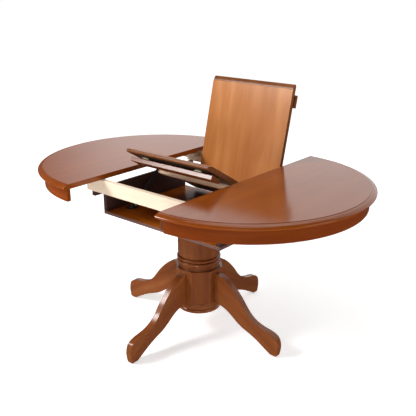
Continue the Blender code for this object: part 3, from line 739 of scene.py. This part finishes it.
def make_panel(where, sign):
    """A leaf panel, moulded on its outer end, with pockets for the centre hinges, and what it carries."""
    node = f"leaf_panel_{where}"
    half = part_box(node)[1].x
    matrix = leaf_matrix(sign)
    edge = edge_profile(PANEL_LENGTH, 0)
    outline = [(sign * u, v) for u, v in [(GAP, 0), *edge, (GAP, -PANEL_THICK)]]
    bm = prism(outline, -half, half, along_x)
    soften(bm, 1.0 * MM, 2, 60)
    obj = new_object(node + "_fine", bm, matrix)
    near, far = sorted((-sign * POCKET_START, sign * POCKET_END))
    for side in ("left", "right"):
        low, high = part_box(f"centre_hinge_{where}_{side}")
        boolean(obj, box_mesh((low.x - GAP, near, POCKET_BOTTOM), (high.x + GAP, far, POCKET_TOP)))
    crease = PANEL_LENGTH - EDGE_CREASE[-1][0] * MM
    # Downward faces take the near-black underside, partly painted shade; the sides, the hinge end and the
    # moulded end take the lipping.
    for face in obj.data.polygons:
        n = face.normal
        if n.z < -0.9:
            face.material_index = 2
        elif abs(n.x) > 0.7 or sign * n.y < -0.7 or sign * face.center.y > crease:
            face.material_index = 1
    dress(obj, body_of(node), [LEAF_WOOD, LEAF_EDGE, LEAF_BACK], along_axis("Y"), [node], 32)
    refined(f"apron_flap_{where}", FLAP_WOOD, 1.3 * MM, along_axis("X"), 3, matrix)
    refined(f"leaf_batten_{where}", BATTEN_WOOD, 1.5 * MM, along_axis("X"), 3, matrix)
    for side in ("left", "right"):
        refined(f"centre_hinge_{where}_{side}", BRASS, 1.2 * MM, matrix=matrix)


def rounded_plate(length, width, thick, corner):
    """A flat plate with rounded corners, centred on x, from y = 0 to width, z = 0 to thick."""
    outline = []
    for cx, cy, start in (
        (length / 2 - corner, width - corner, 0), (-length / 2 + corner, width - corner, 90),
        (-length / 2 + corner, corner, 180), (length / 2 - corner, corner, 270),
    ):
        for k in range(5):
            angle = math.radians(start + 22.5 * k)
            outline.append((cx + corner * math.cos(angle), cy + corner * math.sin(angle)))
    return prism(outline, 0, thick, along_z)


def screw_head(radius):
    """A countersunk screw's face with a cross recess, on z = 0, domed a little."""
    dome = [(0, -1.2 * MM), (radius * 0.75, -1.2 * MM), (radius, -0.1 * MM), (radius, 0.15 * MM)]
    dome += [(radius * 0.8, 0.55 * MM), (radius * 0.45, 0.8 * MM), (0, 0.9 * MM)]
    head = new_object("screw_head", turned(dome, 20))
    arm, slit = radius * 0.55, radius * 0.13
    for size in ((arm, slit), (slit, arm)):
        boolean(head, box_mesh((-size[0], -size[1], 0.1 * MM), (size[0], size[1], 2 * MM)))
    mesh = head.data
    bpy.data.objects.remove(head, do_unlink=True)
    return mesh


SCREW = screw_head(SCREW_RADIUS)


def add_screws(name, body, mat, places):
    """Screw heads in one piece. Each place is a matrix whose z points out of the surface."""
    bm = bmesh.new()
    for number, matrix in enumerate(places):
        bm.from_mesh(SCREW)
        bm.verts.ensure_lookup_table()
        added = bm.verts[-len(SCREW.vertices):]
        turn = Matrix.Rotation(number * SCREW_TURN, 4, "Z")
        bmesh.ops.transform(bm, matrix=matrix @ turn, verts=added)
    dress(new_object(name, bm), body, mat)


def facing(location, direction):
    """A matrix at the location whose z points along the direction."""
    return Matrix.Translation(location) @ Vector(direction).to_track_quat("Z", "Y").to_matrix().to_4x4()


def hinge_knuckle(number):
    """One knuckle of a flap hinge, along x, in its place on the barrel."""
    length = FLAP_HINGE_LENGTH / KNUCKLES
    start = -FLAP_HINGE_LENGTH / 2 + number * length + KNUCKLE_GAP / 2
    knuckle = cylinder(BARREL_RADIUS, start, start + length - KNUCKLE_GAP)
    lie_down = Matrix.Rotation(math.pi / 2, 3, "Y")
    bmesh.ops.rotate(knuckle, verts=knuckle.verts, cent=(0, 0, 0), matrix=lie_down)
    return knuckle


def make_flap_hinges(where, sign):
    """Two butt hinges: a leaf-side wing with its knuckles, and the flap-side knuckles between them."""
    leaf = leaf_matrix(sign)
    screws = []
    for label in ("left", "right"):
        node = f"flap_hinge_{where}_{label}"
        low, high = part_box(node)
        pin = Vector(((low.x + high.x) / 2, sign * FLAP_PIN_S, -FLAP_PIN_D))
        bm = rounded_plate(FLAP_HINGE_LENGTH, FLAP_HINGE_WING, FLAP_HINGE_THICK, 2.5 * MM)
        turn = Matrix.Rotation(math.pi if sign > 0 else 0, 3, "Z")
        bmesh.ops.rotate(bm, verts=bm.verts, cent=(0, 0, 0), matrix=turn)
        bmesh.ops.translate(bm, vec=(0, 0, FLAP_HINGE_TOP - FLAP_HINGE_THICK), verts=bm.verts)
        obj = new_object(f"{node}_fine", bm)
        for number in range(0, KNUCKLES, 2):
            boolean(obj, hinge_knuckle(number), "UNION")
        place = leaf @ Matrix.Translation(pin)
        obj.matrix_world = place
        dress(obj, body_of(node), BRASS, replaces=[node])
        for number in range(1, KNUCKLES, 2):
            piece = new_object(f"{node}_knuckle_{number}", hinge_knuckle(number), place)
            dress(piece, f"flap_{where}", BRASS)
        for x in (-12 * MM, 12 * MM):
            spot = pin + Vector((x, -sign * 13 * MM, FLAP_HINGE_TOP - FLAP_HINGE_THICK))
            screws.append(facing(leaf @ spot, leaf.to_3x3() @ Vector((0, 0, -1))))
    add_screws(f"flap_hinge_screws_{where}", f"leaf_{where}", BRASS, screws)


# Box, rails and hardware


def make_underframe():
    """The rails, the sliders and the storage box with its hardware."""
    for where in ("front", "rear"):
        refined(f"rail_{where}", RAW_WOOD, 1.2 * MM, along_axis("X"), 3)
        for name in ("left", "right"):
            refined(f"slider_{name}_{where}", RAW_WOOD, 1.0 * MM, along_axis("X"))
    for name in ("left", "right"):
        refined(f"box_end_{name}", DARK_WOOD, 1.5 * MM, along_axis("Y"), 3)
        refined(f"arm_bracket_{name}", BLACK_STEEL, 0.7 * MM)
        refined(f"swing_arm_{name}", BLACK_STEEL, 0.8 * MM)
        refined(f"bracket_pin_{name}", ZINC, 0.6 * MM)
        refined(f"batten_pin_{name}", ZINC, 0.6 * MM)
    make_box_floor()
    for number in range(1, 5):
        refined(f"column_bolt_{number}", ZINC, 0.7 * MM)
    screw_brackets()
    screw_sliders()
    screw_box_ends()


def make_box_floor():
    low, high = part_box("box_floor")
    bm = box_mesh(low, high)
    soften(bm, 1.5 * MM, 3)
    floor = new_object("box_floor_fine", bm)
    for x in (-COLUMN_BOLT_PLACE, COLUMN_BOLT_PLACE):
        for y in (-COLUMN_BOLT_PLACE, COLUMN_BOLT_PLACE):
            hole = cylinder(COLUMN_BOLT_HOLE, low.z - 1 * MM, high.z + 1 * MM)
            bmesh.ops.translate(hole, vec=(x, y, 0), verts=hole.verts)
            boolean(floor, hole)
    # The floor's top takes the veneer, its underside the dark wood, and its edges the pale lipping with its
    # painted reflection.
    for face in floor.data.polygons:
        face.material_index = 0 if face.normal.z > 0.9 else 1 if face.normal.z < -0.9 else 2
    mats = [BOX_FLOOR_WOOD, DARK_WOOD, BOX_LIPPING_AND_SHEEN]
    dress(floor, "frame", mats, along_axis("X"), ["box_floor"])


def screw_brackets():
    """Two screws down through each bracket's foot."""
    places = []
    for side, name in ((-1, "left"), (1, "right")):
        low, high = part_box(f"arm_bracket_{name}")
        x = (high.x if side > 0 else low.x) - side * 16 * MM
        for y in (low.y + 11 * MM, high.y - 11 * MM):
            places.append(facing((x, y, low.z + BRACKET_FOOT), (0, 0, 1)))
    add_screws("bracket_screws", "frame", ZINC, places)


def screw_sliders():
    """Three screws up through each slider into its half of the top."""
    for name in ("left", "right"):
        places = []
        for where, off_middle in (("front", 4 * MM), ("rear", -4 * MM)):
            low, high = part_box(f"slider_{name}_{where}")
            y = (low.y + high.y) / 2 + off_middle
            for share in (0.12, 0.5, 0.88):
                places.append(facing((low.x + (high.x - low.x) * share, y, low.z), (0, 0, -1)))
        add_screws(f"slider_screws_{name}", f"{name}_half", ZINC, places)


def screw_box_ends():
    """A screw up through each ear of the box ends into the rail on it."""
    places = []
    for name in ("left", "right"):
        low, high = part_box(f"box_end_{name}")
        for y in (low.y + 4 * MM, high.y - 4 * MM):
            places.append(facing(((low.x + high.x) / 2, y, high.z - EAR_DEPTH), (0, 0, -1)))
    add_screws("box_end_screws", "frame", ZINC, places)


def make_table():
    for side, name in ((-1, "left"), (1, "right")):
        make_top(side, name)
        make_apron(side, name)
    for where, sign in (("front", -1), ("rear", 1)):
        make_aligner(where)
        make_panel(where, sign)
        make_flap_hinges(where, sign)
    make_underframe()
    make_column()
    make_cap()
    for name, turn in (("right", 0), ("rear", 90), ("left", 180), ("front", 270)):
        make_leg(name, math.radians(turn))


# Studio

BACKDROP_AT = (-0.10, 0.96, 0.25)
ROOM_LEVELS = (0.62, 0.78, 0.10, 1.25)  # dot product from and to, strength from and to
FLOOR_DROP = 0.6 * MM
FLOOR_GLOW = (0.8, 3.0, 0.50, 0.78)  # distance from and to, strength from and to
CAMERA_AT = (1.7915, -2.0609, 1.5405)
CAMERA_DOWN = 19.36
CAMERA_TURN = 40.12
CAMERA_LENS = 56.08


def make_floor():
    """A pale floor that glows more farther out, to meet the backdrop, and is darker in the lacquer."""
    bm = bmesh.new()
    bmesh.ops.create_grid(bm, x_segments=2, y_segments=2, size=20)
    floor = new_object("studio_floor", bm)
    floor.location.z = -FLOOR_DROP
    s = Shader("studio_floor")
    mirrored = s.node("ShaderNodeLightPath").outputs["Is Glossy Ray"]
    pale = s.mix(s.noise(s.place(), 0.6, 2.0), (0.90, 0.90, 0.90), (0.93, 0.93, 0.93))
    s.feed(s.mix(mirrored, pale, (0.12, 0.12, 0.12)), "Base Color")
    away = s.node("ShaderNodeVectorMath", operation="LENGTH")
    s.link(s.place(), away.inputs[0])
    glow = s.range(away.outputs["Value"], *FLOOR_GLOW)
    s.feed(s.math("MULTIPLY", glow, s.math("SUBTRACT", 1.0, mirrored)), "Emission Strength")
    s.set(Roughness=0.9, Emission_Color=(1, 1, 1, 1), Specular_IOR_Level=0.0)
    floor.data.materials.append(s.mat)


def make_world():
    """A white backdrop behind the table, and a darker room in front, which keeps the lacquer deep."""
    world = bpy.data.worlds.new("studio")
    bpy.context.scene.world = world
    world.use_nodes = True
    nodes, links = world.node_tree.nodes, world.node_tree.links
    room = nodes["Background"]
    white = nodes.new("ShaderNodeBackground")
    white.inputs["Color"].default_value = (1, 1, 1, 1)
    white.inputs["Strength"].default_value = 1.0
    direction = nodes.new("ShaderNodeTexCoord")
    towards = nodes.new("ShaderNodeVectorMath")
    towards.operation = "DOT_PRODUCT"
    towards.inputs[1].default_value = Vector(BACKDROP_AT).normalized()
    level = nodes.new("ShaderNodeMapRange")
    level.interpolation_type = "SMOOTHSTEP"
    for key, value in zip(RANGE_SOCKETS, ROOM_LEVELS):
        level.inputs[key].default_value = value
    seen = nodes.new("ShaderNodeLightPath")
    pick = nodes.new("ShaderNodeMixShader")
    links.new(direction.outputs["Generated"], towards.inputs[0])
    links.new(towards.outputs["Value"], level.inputs["Value"])
    links.new(level.outputs["Result"], room.inputs["Strength"])
    room.inputs["Color"].default_value = (1, 1, 1, 1)
    links.new(seen.outputs["Is Camera Ray"], pick.inputs[0])
    links.new(room.outputs["Background"], pick.inputs[1])
    links.new(white.outputs["Background"], pick.inputs[2])
    links.new(pick.outputs["Shader"], nodes["World Output"].inputs["Surface"])


def add_area(name, location, target, size, power):
    data = bpy.data.lights.new(name, "AREA")
    data.shape = "RECTANGLE"
    data.size, data.size_y = size
    data.energy = power
    obj = bpy.data.objects.new(name, data)
    bpy.context.scene.collection.objects.link(obj)
    obj.location = location
    obj.rotation_euler = (Vector(target) - Vector(location)).to_track_quat("-Z", "Y").to_euler()


def make_lights():
    """The key shows in the left corner's moulding, and the low strip in the moulding in front."""
    add_area("key", (-1.7, -2.1, 2.35), (0, 0, 0.6), (1.0, 0.8), 82)
    add_area("wash", (-1.5, -3.1, 1.75), (0, 0, 0.8), (1.0, 1.0), 10)
    add_area("low_strip", (2.1, -3.1, 0.50), (0, 0, 0.6), (1.1, 0.25), 22)
    add_area("side", (3.2, 0.4, 1.8), (0, 0, 0.5), (1.4, 1.2), 20)
    add_area("overhead", (0.0, 0.3, 3.2), (0, 0, 0.7), (2.0, 2.0), 24)


def make_camera():
    data = bpy.data.cameras.new("camera")
    data.lens = CAMERA_LENS
    data.sensor_width = 36
    camera = bpy.data.objects.new("camera", data)
    bpy.context.scene.collection.objects.link(camera)
    camera.location = CAMERA_AT
    camera.rotation_euler = (math.radians(90 - CAMERA_DOWN), 0, math.radians(CAMERA_TURN))
    bpy.context.scene.camera = camera


make_table()
make_floor()
make_world()
make_lights()
make_camera()
bpy.context.scene.view_settings.view_transform = "Standard"
